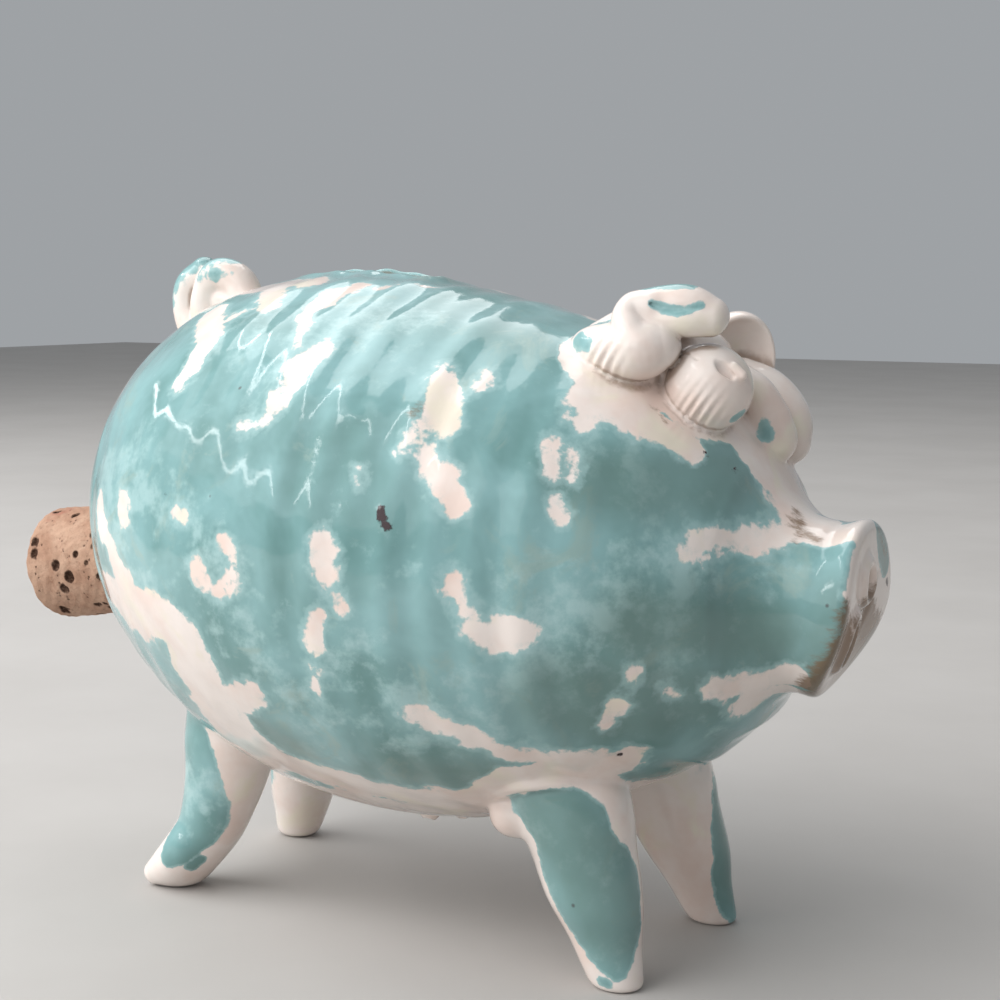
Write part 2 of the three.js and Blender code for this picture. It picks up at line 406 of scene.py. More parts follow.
def leg_front_right(points):
    foot = sole("front_right")
    column = leg(points, foot, (48, -20, 49), FRONT_GIRTHS, 0.84)
    lobe = ellipsoid(points, (39.5, -25, 37.5), (6.2, 7, 6.4), (0, 20, 0))
    rim = roll(points, [(35, -27, 40.5, 1.6), (37.6, -31, 43.4, 2), (46, -33.8, 46.6, 1.7),
                        (53, -31.4, 47.6, 1.9), (57.6, -25.5, 46, 2), (60, -18, 43.5, 1.6)])
    shape = join(join(column, lobe, 3.5), rim, 1.8)
    return shape - 0.25 * waves(points, (0.3, 0.2, 1), 13, 1) * near(points, (58, -30, 24), 14)


def leg_front_left(points):
    foot = sole("front_left")
    return leg(points, foot, (48, 19.5, 49), FRONT_GIRTHS, 0.84)


def leg_rear_right(points):
    foot = sole("rear_right")
    column = leg(points, foot, (foot[0] + 17, -19.5, 50), REAR_GIRTHS, 0.86, bend=2.4)
    toe = roll(points, [(-60, -26, 12, 6.5), (-65, -27, 7, 5.6), (-70.6, -27.4, 3.6, 3.5)])
    return common(join(column, toe, 3), -points[2], 1.2)


def leg_rear_left(points):
    foot = sole("rear_left")
    return leg(points, foot, (foot[0] + 7, 19.5, 50), REAR_GIRTHS, 0.86, bend=2.4)


def nostril(local, centre, radii, lean):
    """Field of a pressed hole, and of the lip pushed up around it, on the snout's own axes."""
    hole = ellipsoid(local, centre, radii, (lean, 0, 0))
    lip = 1.6 * np.exp(-((hole - 1.6) / 1.4) ** 2)
    return hole, lip


def snout_disc(points):
    """A flared disc that grows out of the muzzle, its face dished and pressed with two nostrils."""
    local = snout_frame(points)
    ahead, across, up = local
    bowed = ahead + SNOUT_BOW * (up / SNOUT_RIM) ** 2 * np.clip(ahead / SNOUT_DEPTH, 0, 1)
    out = np.hypot(across, up + 0.4)
    low = smoothstep(-up, 8, 20)
    high = smoothstep(up, 6, 18)
    flare = 17.3 - 0.6 * high + 0.6 * low
    flare += (3.4 - 2.0 * low + 2.2 * high) * smoothstep(bowed, -5, 11)
    flare += 0.3 * np.sin(3 * np.arctan2(up, across) + 0.6)
    face = bowed - SNOUT_DEPTH + 1.8 * np.exp(-(out / 12) ** 2)
    near_hole, near_lip = nostril(local, (SNOUT_DEPTH - 1.2, -8.6, -3.6), (4.4, 3.2, 5.6), 26)
    far_hole, far_lip = nostril(local, (SNOUT_DEPTH - 1.7, -2.4, 9), (3.6, 2.2, 3.6), 40)
    crease = roll(local, [(SNOUT_DEPTH - 1.8, 6, 9, 0.8), (SNOUT_DEPTH - 0.4, 4, 1, 1.5),
                          (SNOUT_DEPTH - 0.8, 0, -8, 1)])
    face = cut(face - near_lip - far_lip, crease, 2)
    plate = common(out - flare, face, 4.4)
    plate = common(plate, -(ahead + 9), 1)
    return cut(cut(plate, near_hole, 1.2), far_hole, 1)


def eye_right(points):
    ball = ellipsoid(points, (79, -9, 135.3), (9.9, 9.3, 9.5), (0, 30, 0))
    pit = roll(points, [(83.8, -15, 141.3, 0.7), (85.2, -14.7, 140, 1.5), (86.6, -13.8, 138.3, 1)])
    crumbs = roll(points, [(86.4, -12, 140, 1), (88, -11.6, 138.2, 1.2)])
    ridges = 0.3 * waves(points, (1, 0.25, -0.8), 1.9) * near(points, (79.6, -16.6, 130.4), 4.8)
    scratch = roll(points, [(74.6, -13.8, 142.6, 0.3), (77.2, -15.3, 142.7, 0.4), (79.4, -16, 141.6, 0.3)])
    ball = cut(ball - ridges, pit, 0.8)
    return cut(join(ball, crumbs, 1), scratch, 0.4)


def eye_left(points):
    """A folded lump: a small bulb in front, a brow over it and a long petal behind the groove."""
    bulb = ellipsoid(points, (84.4, 10.6, 123.4), (7.2, 6.2, 6.6), (0, 35, 0))
    brow = roll(points, [(77, 10, 136.5, 3.6), (82, 9.6, 133, 4.2), (84.5, 10.4, 127.5, 5.2)])
    petal = roll(points, [(73.5, 20, 135.6, 5), (79, 20.4, 131.4, 7), (83.2, 20.4, 126.2, 7.3),
                          (85.6, 19.6, 121.4, 5.4)])
    return join(join(bulb, brow, 2.5), petal, 0.6)


def ear_right(points):
    """A strip of clay: a fat lower roll, folded back at its front end into a flap that lies on top."""
    lower = roll(points, [(49.6, -14.8, 144, 2.2), (54, -16.8, 143.8, 4.6), (60, -18, 143.6, 6),
                          (66.5, -18.6, 143.4, 6.7), (70.2, -17.2, 144.2, 5.4)])
    ridges = 0.3 * waves(points, (1, 0.2, -0.75), 2.3) * near(points, (61, -23.5, 142), 4.2)
    back = roll(points, [(53, -11.5, 146, 3.4), (60, -12, 148.4, 4.2), (66, -12.5, 149.5, 4.6)])
    fold = roll(points, [(68.4, -21, 144.6, 3.4), (65.6, -20.8, 147.6, 3.4), (63.8, -19.4, 150.2, 3.3),
                         (64.6, -17.6, 152.6, 3.2), (68, -16.4, 152.6, 3.4)])
    flap = roll(points, [(64.4, -15.4, 152.2, 3.8), (69.5, -13.4, 152.4, 5), (75, -11.8, 152.4, 5.2),
                         (79.6, -10.4, 150.8, 4.3)])
    edge = roll(points, [(66, -17.6, 151, 2.2), (70, -16.8, 149.8, 2.9), (76, -15, 149.4, 3.2),
                         (80.6, -12.2, 149.4, 3)])
    groove = roll(points, [(69.5, -18.9, 153.4, 0.3), (73.5, -18.4, 152.6, 0.6), (79, -16.2, 152.6, 0.3)])
    tongue = cut(join(join(flap, edge, 2.2), fold, 2.6), groove, 1.2)
    curl = join(lower - ridges, back, 3)
    return join(curl, tongue, 1)


def ear_left(points):
    """An upright petal, cupped towards the snout."""
    petal = ellipsoid(points, (70.5, 21, 138.5), (10.2, 9.6, 13.4), (0, 24, -20))
    cup = ellipsoid(points, (77.2, 14.6, 140.2), (9.6, 9.4, 10.8), (0, 24, -20))
    return cut(petal, cup, 2.2)


def tail(points):
    """A short curl: one roll over the rump and one coil standing behind it."""
    over = roll(points, [(-59, 1, 151.5, 4.2), (-63, 1, 158, 4.5), (-69.6, 0.2, 159.6, 4.6),
                         (-73.6, 0, 153.5, 4.3), (-73.2, 0, 146, 4.6)])
    curl = roll(points, [(-70, 0, 145, 4.4), (-76.4, 0.6, 143.6, 4.6), (-81.3, 1.6, 149.5, 4.3),
                         (-81.2, 2.2, 156.6, 4.4), (-76.6, 2.8, 160.9, 3.9)])
    web = roll(points, [(-62.5, 0.4, 152.5, 3.4), (-67.5, 0.2, 153.2, 3.4)])
    return join(join(over, web, 2), curl, 1.2)


# ------ pieces as fields


class Part:
    """A luted part: its shape, named as its node is, how far its fillet reaches and its mesh's pitch."""

    def __init__(self, shape, blend, pitch=0.5):
        self.node = shape.__name__
        self.shape = shape
        self.blend = blend
        self.fillet = 0.4 * blend
        self.pitch = pitch
        self.low, self.high = node_box(self.node, margin=min(blend, 6) + 3.5)

    def holds(self, points):
        return within(points, self.low, self.high)


ROOT = 2.2  # how deep a part's skin runs into the body's wall
SINK = 0.22


def handover(beyond):
    """How far one skin sinks under the other past the line where they meet."""
    return np.where(beyond > 0, SINK * beyond ** 2, 0)


def part_field(part):
    """The part and its fillet as a closed solid that ends inside the body's wall."""
    def field(points):
        skin = body_skin(points)
        shape = part.shape(points)
        fused = join(skin, shape, part.blend)
        return np.maximum(fused + handover(shape - part.fillet), -(skin + ROOT))
    return field


PARTS = [
    Part(snout_disc, 9),
    Part(leg_front_right, 2.4),
    Part(leg_front_left, 5),
    Part(leg_rear_right, 6),
    Part(leg_rear_left, 6),
    Part(eye_right, 2, pitch=0.34),
    Part(eye_left, 2.4, pitch=0.4),
    Part(ear_right, 2, pitch=0.36),
    Part(ear_left, 2.6, pitch=0.45),
    Part(tail, 2.6, pitch=0.4),
]


def slot_lip(points):
    """The body's skin around the slot, raised in a soft lip and cut through."""
    gap = slot_gap(points)
    raised = body_skin(points) - LIP_HEIGHT * np.exp(-(gap / 3.2) ** 2)
    return cut(raised, gap, 1.6)


def slot_lip_field(points):
    beyond = slot_gap(points) - LIP_REACH
    inner = np.maximum(-(thrown(points) + RIM_DEPTH), RIM_FLOOR - points[2])
    return np.maximum(slot_lip(points) + handover(beyond), inner)


def body_field(points):
    """The body's wall, its skin sunk a little under each part that covers it."""
    skin = body_skin(points)
    whole = skin.copy()
    for part in PARTS:
        chosen = part.holds(points)
        if chosen.any():
            local = points[:, chosen]
            shape = part.shape(local)
            fused = join(skin[chosen], shape, part.blend)
            whole[chosen] = np.minimum(whole[chosen], fused + handover(part.fillet - shape))
    gap = slot_gap(points)
    over = points[2] > SLOT_FLOOR
    lifted = slot_lip(points) + handover(LIP_REACH - gap)
    whole = np.where(over & (gap < LIP_REACH + 6), np.maximum(lifted, -gap + SLOT_ROOM), whole)
    bung, inward = bung_gap(points)
    whole = np.where(inward < BUNG_DEPTH, cut(whole, bung, 1.4), whole)
    return cut(whole, hollow(points), 0.6)


# ------ cork

LARGE_PITS = [(12.2, 15.6, 178, 1.45), (16.6, 15.4, 191, 1.65), (13, 15.6, 204, 1.4), (4, 16, 152, 1),
              (14, 15.6, 118, 1.2), (7, 15.8, 232, 1.3), (20, 15.2, 168, 0.9), (0.4, 9, 60, 1.6)]
SMALL_PITS = 84
PITS_ON_END = 0.36
PIT_SEED = 7
MOST_LEAN = 57 * math.pi  # degrees, just short of half a turn


def cork_pits():
    """Place (inward, out, angle), size, flatness and lean of each dark lenticel, large ones first."""
    draw = np.random.default_rng(PIT_SEED)
    pits = [((inward, out, math.radians(angle)), size, 0.8, 22.8) for inward, out, angle, size in LARGE_PITS]
    for _ in range(SMALL_PITS):
        on_end = draw.random() < PITS_ON_END
        angle = draw.uniform(0, 2 * math.pi)
        if on_end:
            place = (0.2, CORK_OUTER * 0.9 * math.sqrt(draw.random()), angle)
        else:
            inward = draw.uniform(2, 34)
            place = (inward, CORK_OUTER - 0.03 * inward, angle)
        pits.append((place, draw.uniform(0.55, 1.35), draw.uniform(0.55, 1.0), draw.uniform(0, MOST_LEAN)))
    return pits


CORK_SIDE = np.array((0, 1, 0))
CORK_UP = np.cross(CORK_INWARD, CORK_SIDE)


def cork_place(inward, out, angle):
    return CORK_END + CORK_INWARD * inward + out * (CORK_SIDE * math.cos(angle) + CORK_UP * math.sin(angle))


def pit_depth(points):
    """How deep each point lies in a lenticel, positive inside."""
    depth = np.full(points.shape[1], -9.0)
    for place, size, squash, lean in cork_pits():
        hole = ellipsoid(points, cork_place(*place), (size, size * squash, size), (0, 0, lean))
        depth = np.maximum(depth, -hole)
    return depth


def cork_field(points):
    gap, inward = bung_gap(points)
    side = (gap + BUNG_ROOM) * 0.995
    grain = 0.12 * waves(points, (0.2, 1, 0.4), 3.1) * waves(points, (1, 0.3, -0.5), 4.3, 1)
    grain += 0.1 * waves(points, (0.8, -0.4, 1), 7.7, 0.4)
    body = common(side + 0.16 - grain, -inward + 0.1 - 0.5 * grain, 3.4)
    body = common(body, inward - CORK_LENGTH + 0.1, 2.5)
    return common(body, pit_depth(points), 0.35)


# ------ meshing

SLAB = 16
SLOPE_STEP = 0.04
ROUNDS = 2


def sample(field, axes):
    """The field's values on a grid, worked out slab by slab."""
    grid = np.empty([len(axis) for axis in axes], np.float32)
    for start in range(0, len(axes[0]), SLAB):
        slab = np.stack(np.meshgrid(axes[0][start:start + SLAB], axes[1], axes[2], indexing="ij"))
        grid[start:start + SLAB] = field(slab.reshape(3, -1)).reshape(slab.shape[1:])
    return grid


def aside(axis, u, v):
    """A step of u and v along the two axes that follow this one."""
    offset = np.zeros(3, int)
    offset[(axis + 1) % 3] = u
    offset[(axis + 2) % 3] = v
    return offset


def cell_points(grid, cells):
    """Middle of the places where the surface crosses each cell's edges, in grid steps."""
    total = np.zeros((len(cells), 3))
    hits = np.zeros(len(cells))
    for axis in range(3):
        for step in range(4):
            offset = aside(axis, step & 1, step >> 1)
            start = grid[tuple((cells + offset).T)]
            offset[axis] = 1
            end = grid[tuple((cells + offset).T)]
            crosses = (start < 0) != (end < 0)
            place = np.tile(offset.astype(float), (len(cells), 1))
            place[crosses, axis] = (start / np.where(crosses, start - end, 1))[crosses]
            total[crosses] += place[crosses]
            hits += crosses
    return cells + total / hits[:, None]


def cell_quads(inside, number):
    """A quad across each grid edge that the surface crosses, wound outwards."""
    quads = []
    for axis in range(3):
        side = [slice(1, -1)] * 3
        side[axis] = slice(0, -1)
        start = inside[tuple(side)]
        side[axis] = slice(1, None)
        end = inside[tuple(side)]
        edges = np.argwhere(start != end)
        outward = start[tuple(edges.T)]
        edges += aside(axis, 1, 1)
        ring = []
        for u, v in ((1, 1), (0, 1), (0, 0), (1, 0)):
            ring.append(number[tuple((edges - aside(axis, u, v)).T)])
        ring = np.stack(ring, axis=1)
        quads.append(np.where(outward[:, None], ring, ring[:, ::-1]))
    return np.vstack(quads)


def settle(points, field, limit):
    """Moves points along the field's slope onto its surface."""
    value = field(points)
    slope = np.empty_like(points)
    for axis in range(3):
        step = np.zeros((3, 1))
        step[axis] = SLOPE_STEP
        slope[axis] = (field(points + step) - field(points - step)) / (2 * SLOPE_STEP)
    steep = np.sum(slope ** 2, axis=0) + 1e-6
    move = np.clip(value / steep, -limit, limit)
    return points - slope * move


def relax(points, quads):
    """Each point halfway to the middle of its neighbours."""
    starts = np.concatenate([quads[:, i] for i in range(4)])
    ends = np.concatenate([quads[:, (i + 1) % 4] for i in range(4)])
    count = np.bincount(starts, minlength=points.shape[1])
    middle = np.stack([np.bincount(starts, points[axis][ends], points.shape[1]) for axis in range(3)])
    return 0.5 * points + 0.5 * middle / np.maximum(count, 1)


def corner_count(inside):
    """How many of each cell's eight corners lie inside."""
    count = inside.astype(int)
    count = count[:-1] + count[1:]
    count = count[:, :-1] + count[:, 1:]
    return count[:, :, :-1] + count[:, :, 1:]


def shell(field, low, high, pitch):
    """Points and quads of a field's surface within a box."""
    axes = [np.arange(a, b + pitch, pitch) for a, b in zip(low, high)]
    grid = sample(field, axes)
    inside = grid < 0
    count = corner_count(inside)
    crossed = (count > 0) & (count < 8)
    cells = np.argwhere(crossed)
    number = np.full(crossed.shape, -1)
    number[crossed] = np.arange(len(cells))
    points = (cell_points(grid, cells) * pitch + [axis[0] for axis in axes]).T
    quads = cell_quads(inside, number)
    for _ in range(ROUNDS):
        points = relax(settle(points, field, pitch / 2), quads)
    for _ in range(ROUNDS):
        points = settle(points, field, pitch / 2)
    return points, quads


def make_mesh(name, points, quads):
    mesh = bpy.data.meshes.new(name)
    mesh.vertices.add(points.shape[1])
    placed = (points + np.array((ORIGIN_X, 0, 0))[:, None]) * MM
    mesh.vertices.foreach_set("co", placed.T.astype(np.float32).ravel())
    mesh.loops.add(quads.size)
    mesh.loops.foreach_set("vertex_index", quads.astype(np.int32).ravel())
    mesh.polygons.add(len(quads))
    mesh.polygons.foreach_set("loop_start", np.arange(0, quads.size, 4, dtype=np.int32))
    mesh.update(calc_edges=True)
    mesh.validate()
    mesh.shade_smooth()
    return add_object(name, mesh)


# ------ glaze brushed on in strokes, and painted shade

WHITE = 1
TEAL = -1
BARE = 12.0  # slip is counted to this many millimetres either side of a stroke's edge
CREASE = 3  # how far off other clay still puts a point in painted crease shade


def stroke(*knots):
    """A stroke's knots: x, y, z and radius, or on the body only distance along, turn and radius."""
    return [knot if len(knot) == 4 else (*on_skin(*knot[:2]), knot[2]) for knot in knots]


def strokes(*lines):
    return [stroke(*knots) for knots in lines]


def white(*knots):
    return WHITE, stroke(*knots)


def teal(*knots):
    return TEAL, stroke(*knots)


def on_snout(*knots):
    """A stroke on the snout's face through knots of ahead, across, up and radius on its own axes."""
    turn = turning(SNOUT_ANGLES)
    return [(*(SNOUT_BASE + turn @ np.array(knot[:3])), knot[3]) for knot in knots]


STROKES = [  # in the order of brushing
    # rump
    white((-62, 66, 5), (-52, 72, 5), (-40, 76, 6), (-28, 76, 7)),
    white((-46, 60, 4), (-41, 54, 4.4), (-38, 47, 3.6), (-37, 41, 2.6), (-39, 37, 1.8)),
    white((-36, 57, 1.4), (-33, 60, 1.6)),
    white((-31, 70, 4), (-28, 63, 3), (-27, 60, 1.6)),
    white((-50, 9, 2.4), (-49, 5, 2)),
    white((-63, 8, 2.4), (-60, 0, 3), (-54, -8, 4.2), (-47, -13, 5)),
    teal((-60, -6, 1.8), (-57, -13, 2.6)),
    white((-64, -18, 5), (-54, -18, 7), (-39, -15, 7), (-29, -18, 8), (-27, -32, 8.5), (-23, -47, 11)),
    white((-13, 6.5, 1.7), (-9.5, 3, 2.3), (-10.5, -1, 2.3), (-14, -3.6, 2), (-17.5, -3, 1.6)),
    white((-20.5, 0, 1.4), (-19, -1.5, 1.6)),
    white((-29, 10, 1.3), (-26, 9, 1.4)),
    white((-74, 40, 4), (-80, 80, 5), (-76, 130, 5), (-66, 160, 4)),
    white((-72, 190, 5), (-58, 196, 6), (-42, 200, 5)),
    white((-84, -60, 5), (-86, -120, 5), (-80, -165, 4)),
    # back
    white((-8, 74, 2.4), (-12, 68, 3), (-13, 62, 2), (-12, 57, 1.6), (-8, 49, 1.3)),
    white((-2, 76, 0.9), (7, 81, 1)),
    white((-5, 74, 1), (-3, 75, 0.8)),
    white((12, 100, 3), (22, 108, 4), (30, 104, 3)),
    white((-26, 112, 5), (-12, 118, 4), (-2, 112, 2.5)),
    white((42, 96, 3), (50, 104, 4), (56, 118, 5)),
    # flank
    white((-2, 49, 3), (-4, 45, 3.4), (-4, 40, 3.2), (-4, 36, 1.8)),
    white((-7, 37, 1.8), (-7, 32, 2.4), (-12, 29.5, 1.8)),
    white((28, 51, 1.6), (31, 46, 3.4), (33, 41, 4), (35, 38, 3.4)),
    white((32, 40, 3), (29, 33, 2.2), (28, 31, 1.6)),
    white((39, 52, 1.6), (38.5, 47, 1.5)),
    white((34, 30, 2), (38, 26, 2.8), (42.5, 20.5, 2.4)),
    white((58, 38, 1.5), (59.5, 31, 1.8)),
    white((62.3, 37, 1.2), (63, 32, 1.1)),
    white((61, 25.5, 1.2), (62.5, 22, 1.2)),
    white((19, 25, 1.3), (19.5, 23, 1.3)),
    white((14, 9, 2.4), (15, 5, 2.7), (17, 1.5, 1.9), (18, -4, 0.9)),
    white((14, -5, 1.2), (12, -8, 1.5), (12, -11, 1.2)),
    white((10.5, -17, 1.4), (10, -20, 1.5)),
    white((43.5, 4, 2.4), (45, 0, 2.4), (47, -4, 3.2), (50, -7, 4.2), (54, -7, 4.4), (57, -7, 3.4)),
    white((33, -26, 2.6), (36, -28, 3.2), (39, -30, 3.2), (43, -34, 2.6)),
    white((44, -35, 2), (54, -43, 3), (64, -52, 5.5)),
    white((72, -30, 1.5), (69.5, -36, 1.5)),
    white((76, -20, 1.1), (76, -21, 1)),
    white((81, -29, 1.4), (82.5, -32, 1.6)),
    white((-30, 140, 4), (-24, 150, 5), (-20, 160, 2)),
    white((-36, 152, 2.4), (-33, 158, 1.6)),
    white((2, 130, 2), (8, 140, 5), (5, 147, 5), (6, 156, 2)),
    white((-2, 160, 1.2), (-5, 166, 2), (-4, 170, 1)),
    white((30, 146, 3), (38, 154, 4.5), (42, 166, 2)),
    white((50, 172, 2), (56, 178, 3.5), (58, 188, 2)),
    white((-14, 176, 2), (-9, 183, 3.8), (-15, 190, 2)),
    white((18, 178, 1.6), (24, 186, 4.4), (22, 194, 3.2), (30, 200, 1.6)),
    white((58, 150, 3), (64, 140, 5), (70, 128, 5)),
    # belly
    white((-18, -29, 3.6), (-9, -25, 3.4)),
    white((-22, -41, 7), (-11, -47, 6), (5, -50, 6), (23, -55, 6), (37, -58, 7)),
    white((-40, -68, 11), (-26, -72, 17), (-5, -72, 18), (22, -74, 18), (45, -76, 16), (62, -85, 10)),
    white((-48, -105, 14), (-20, -108, 18), (10, -108, 18), (40, -105, 14)),
    white((-40, 222, 6), (-20, 230, 8), (4, 234, 8), (28, 232, 7), (48, 238, 6)),
    white((56, -49, 6), (67, -55, 6)),
    teal((70, -42, 3), (78, -50, 6), (86, -62, 5)),
    teal((74, 250, 6), (84, 240, 6)),
    # face
    white((61, 54, 5), (67, 65, 6), (75, 75, 6)),
    white((62, 52, 3.5), (68, 55, 4.2), (74, 56, 4.2), (80, 56, 3.4)),
    white((61, 48, 2.4), (60, 54, 3), (60.5, 62, 3)),
    white((74, 118, 7), (66, 104, 7), (68, 88, 8)),
    white((85, 22, 2.4), (88, 30, 3), (92, 38, 3), (98, 57, 3.8), (102, 80, 3.5)),
    white((87, 21, 1.6), (89, 26, 2)),
    white((80, 84, 6), (86, 84, 7.5), (92, 87, 5.8), (97, 79, 5.5), (101, 82, 5)),
    white((86, 98, 6), (94, 98, 6)),
    white((90, 120, 3), (97, 118, 4), (101, 128, 3)),
    white((87, -33, 2.2), (92, -43, 3), (102, -40, 4)),
    white((90, -52, 3), (98, -63, 3)),
    white((84, 200, 3), (92, 212, 4), (99, 220, 3)),
    white((54, -16, 144, 6), (61, -19, 144, 12.4), (73, -16, 148, 13)),
    white((79, -9, 135, 12.5), (82, 6, 130, 12), (81, 19, 128, 13.5), (87, 20, 119, 8)),
    white((72, 0, 143, 8), (71, 12, 142, 11), (71, 22, 142, 13)),
    teal((53, -20.5, 145, 2.2), (56.6, -22, 144.4, 2)),
    teal((54.5, -16, 148.6, 1.8), (58, -18.5, 149.8, 2.2), (61, -19.5, 151, 1.4)),
    teal((67, -15.5, 157.4, 1.8), (71, -14.2, 158.6, 3), (76, -13.2, 158.2, 2.6)),
    teal((69.5, -18.9, 153.4, 0.9), (73, -18.6, 152.7, 1.4), (77, -17.5, 152.2, 1.5),
         (80, -15.2, 153.2, 1.2)),
    teal((86.1, -11, 128.8, 1.6), (87.4, -9.6, 129.6, 1.2)),
    teal((86.6, 4, 127, 2.2), (87.4, 3.6, 124.2, 2.5)),
    teal((64, 32, 139, 3), (61, 29, 146, 2.6)),
    # legs
    white((46, -24, 42, 19), (60, -27, 24, 18), (68, -27, 4, 14)),
    teal((45, -33, 41, 3.4), (56.5, -32.5, 38, 9.2), (58.5, -33, 33, 10.4), (62.4, -29.4, 24, 11),
         (65.4, -27.2, 12, 6.4), (67.8, -27.6, 5.5, 2.4)),
    teal((64.2, -29.2, 2.6, 1.4), (65.6, -28.8, 2.4, 1.2)),
    white((45, 20, 42, 17), (60, 22, 22, 15), (68, 24, 4, 12)),
    teal((70.5, 23, 42, 4.2), (72.5, 26, 26, 8.2), (72.5, 27, 16, 9), (72.5, 28, 7.5, 7.6)),
    white((-46, -22, 36, 14), (-55, -24, 18, 13), (-64, -26, 4, 12)),
    teal((-57, -31, 47, 7), (-55, -31, 38, 8), (-54, -31, 29, 9.4), (-54.5, -31, 22, 9),
         (-58, -32, 16, 6.4), (-61.5, -33, 11, 3.4)),
    teal((-54.3, -29, 9.9, 1.6), (-56.8, -29.2, 8.5, 1.8)),
    white((-46, 22, 40, 16), (-56, 25, 18, 14), (-62, 26, 4, 12)),
    teal((-56, 36, 34, 5.5), (-60, 37, 20, 5), (-64, 36, 10, 3)),
    # tail
    white((-60, 0, 155, 9), (-72, 0, 152, 10), (-80, 1, 147, 9)),
    teal((-63, -4, 161.6, 0.9), (-67, -4.5, 161, 1.1)),
    teal((-72, -3.5, 159.5, 0.8), (-73, -3.5, 158.5, 0.7)),
    teal((-84.6, -1.5, 152, 0.8), (-84.8, -1, 153, 0.7)),
    # snout
    (WHITE, on_snout((22.5, -7, 12, 16), (24, -7, 0, 16.5), (22.5, -6, -11, 15.5))),
    (WHITE, on_snout((20, 7, 12, 16), (22, 7, 0, 16.5), (21, 6, -11, 15.5))),
    (WHITE, on_snout((-5, -9, 16.5, 5.2), (3, -7.5, 18.6, 5), (9, -5.5, 20.5, 5), (9, 5, 21.5, 5))),
    (TEAL, on_snout((8.6, 6, 20, 3.2), (9.8, 9.4, 15.6, 4.4), (11.2, 12.4, 11, 3))),
    # teal in the near nostril, under the brown painted shade of the hole
    (TEAL, on_snout((10.6, -9.6, -6.5, 2.6), (10.8, -7.6, -1, 1.8))),
    (TEAL, on_snout((12.6, 14, -6, 2), (12, 11, -13, 3))),
]
SPONGED = strokes(  # where a sponge thinned the teal
    ((-27, 9, 5), (-18, 4, 7), (-24, -4, 5)),
    ((69, -34, 5), (78, -29, 6), (87, -40, 5)),
    ((18, 19, 3), (22, 12, 3.5), (27, 8, 3)),
    ((37, 19, 2.5), (40, 14, 2.5)),
    ((-14, -14, 4), (-2, -20, 6), (6, -30, 5)),
    ((52, -20, 8), (66, -14, 12), (76, 0, 10), (84, -12, 8)),
    ((66, 38, 7), (76, 44, 7)),
    ((-58, 16, 6), (-46, 22, 8), (-44, 8, 8)),
    ((-30, 44, 8), (-10, 56, 8), (12, 62, 8)),
    ((-40, -6, 7), (-20, -10, 8), (6, -20, 9), (28, -30, 8)),
    ((-20, 150, 12), (20, 165, 12), (60, 170, 10)),
    ((-50, 130, 9), (-20, 100, 8), (30, 118, 9)),
    ((-56, -34, 30, 9), (60, -36, 34, 9)),
)
THICK_AND_SHADED = strokes(  # where the teal lies thick and dark, and painted shade on the cheek, the underside, the front legs and the snout's edge
    ((60, -24, 8), (72, -30, 10), (84, -34, 8)),
    ((78, -6, 7), (90, -6, 7), (98, -10, 6)),
    ((64, 30, 6), (76, 38, 7), (86, 56, 7)),
    ((24, -42, 5), (34, -44, 6), (44, -48, 5)),
    ((-16, -36, 5), (-6, -38, 5)),
    ((54, -33, 40, 9), (62, -31, 30, 10), (66, -28, 18, 9)),
    ((71, 26, 34, 7), (71, 26, 14, 7)),
    on_snout((8.6, 6, 20, 4), (9.8, 9.4, 15.6, 5), (11.2, 12.4, 11, 4)),
    on_snout((9, -20, 6, 3), (9, -19, -6, 4), (6, -14, -15, 4)),
)
RUST_AND_SHADE = strokes(  # where thin glaze burnt brown, and painted shade over the lower half of the snout's face and in its near nostril
    ((96, 80, 0.9), (99, 66, 1.8), (100, 54, 1.4)),
    on_snout((-8, -8, 18, 1.2), (-4, -9.5, 17, 1.8), (-1, -11, 16, 1.2)),
    ((27.6, 38.4, 1.5), (28.4, 38.9, 1.5)),
    ((72, 62, 1), (74, 60, 0.8)),
    # painted shade: the lower half of the snout's face and its near nostril, darkened brown
    on_snout((12, -15.5, 4, 1.5), (12, -15.5, -3, 4), (11.5, -13, -9, 5.5), (10.5, -7, -14, 6)),
    on_snout((12.5, -6, 3, 3.5), (12.6, 1, 3, 5.5), (11.5, 6, -5, 7), (10.5, 4, -13, 6)),
    on_snout((10.5, 12, -5, 6), (10, 10, -11, 6), (8.5, 1, -18, 5), (8.5, -8, -17, 5)),
    on_snout((12.5, -12, 1, 3), (12.5, -6, -4, 5), (11.5, -2, -10, 6)),
    on_snout((11.4, -18, 6.5, 1.6), (12, -18, 1, 3), (11.4, -17, -7, 4), (8.5, -13, -14, 4)),
    on_snout((12.2, 3.5, 9, 2), (12.4, 1.5, 5, 2.5)),
    on_snout((9, 6, 19, 0.9), (10.4, 11, 13, 0.9)),
)
FLECKS = strokes(  # iron specks
    ((26.6, 17.4, 1.1), (27.6, 15.6, 1.3)),
    ((28.4, 14.2, 1.1), (29, 13.6, 0.7)),
    ((68, -49.7, 0.5), (68.6, -50.6, 0.4)),
    ((82.1, 58.5, 0.7), (82.7, 58.9, 0.5)),
    ((86.7, 63.4, 0.6), (87.1, 62, 0.5)),
    ((-33, 13, 0.6), (-32.6, 12.6, 0.5)),
    ((12, 168, 0.9), (12.8, 170, 0.6)),
    on_snout((11.8, 14.2, 6.9, 0.7), (11.9, 14.8, 6.2, 0.6)),
)

FIRM = strokes(  # where a small brush kept the edges close to its strokes
    ((52, -18, 145, 10), (68, -16, 147, 14), (80, -8, 136, 14), (84, 8, 127, 12), (80, 20, 130, 12)),
    ((50, -28, 40, 14), (68, -28, 8, 12)),
    ((50, 26, 40, 12), (68, 26, 8, 12)),
    ((-50, -28, 40, 12), (-66, -28, 8, 10)),
    on_snout((10, 0, 14, 12), (12, 0, -8, 14)),
)
FIRMNESS = 1.7


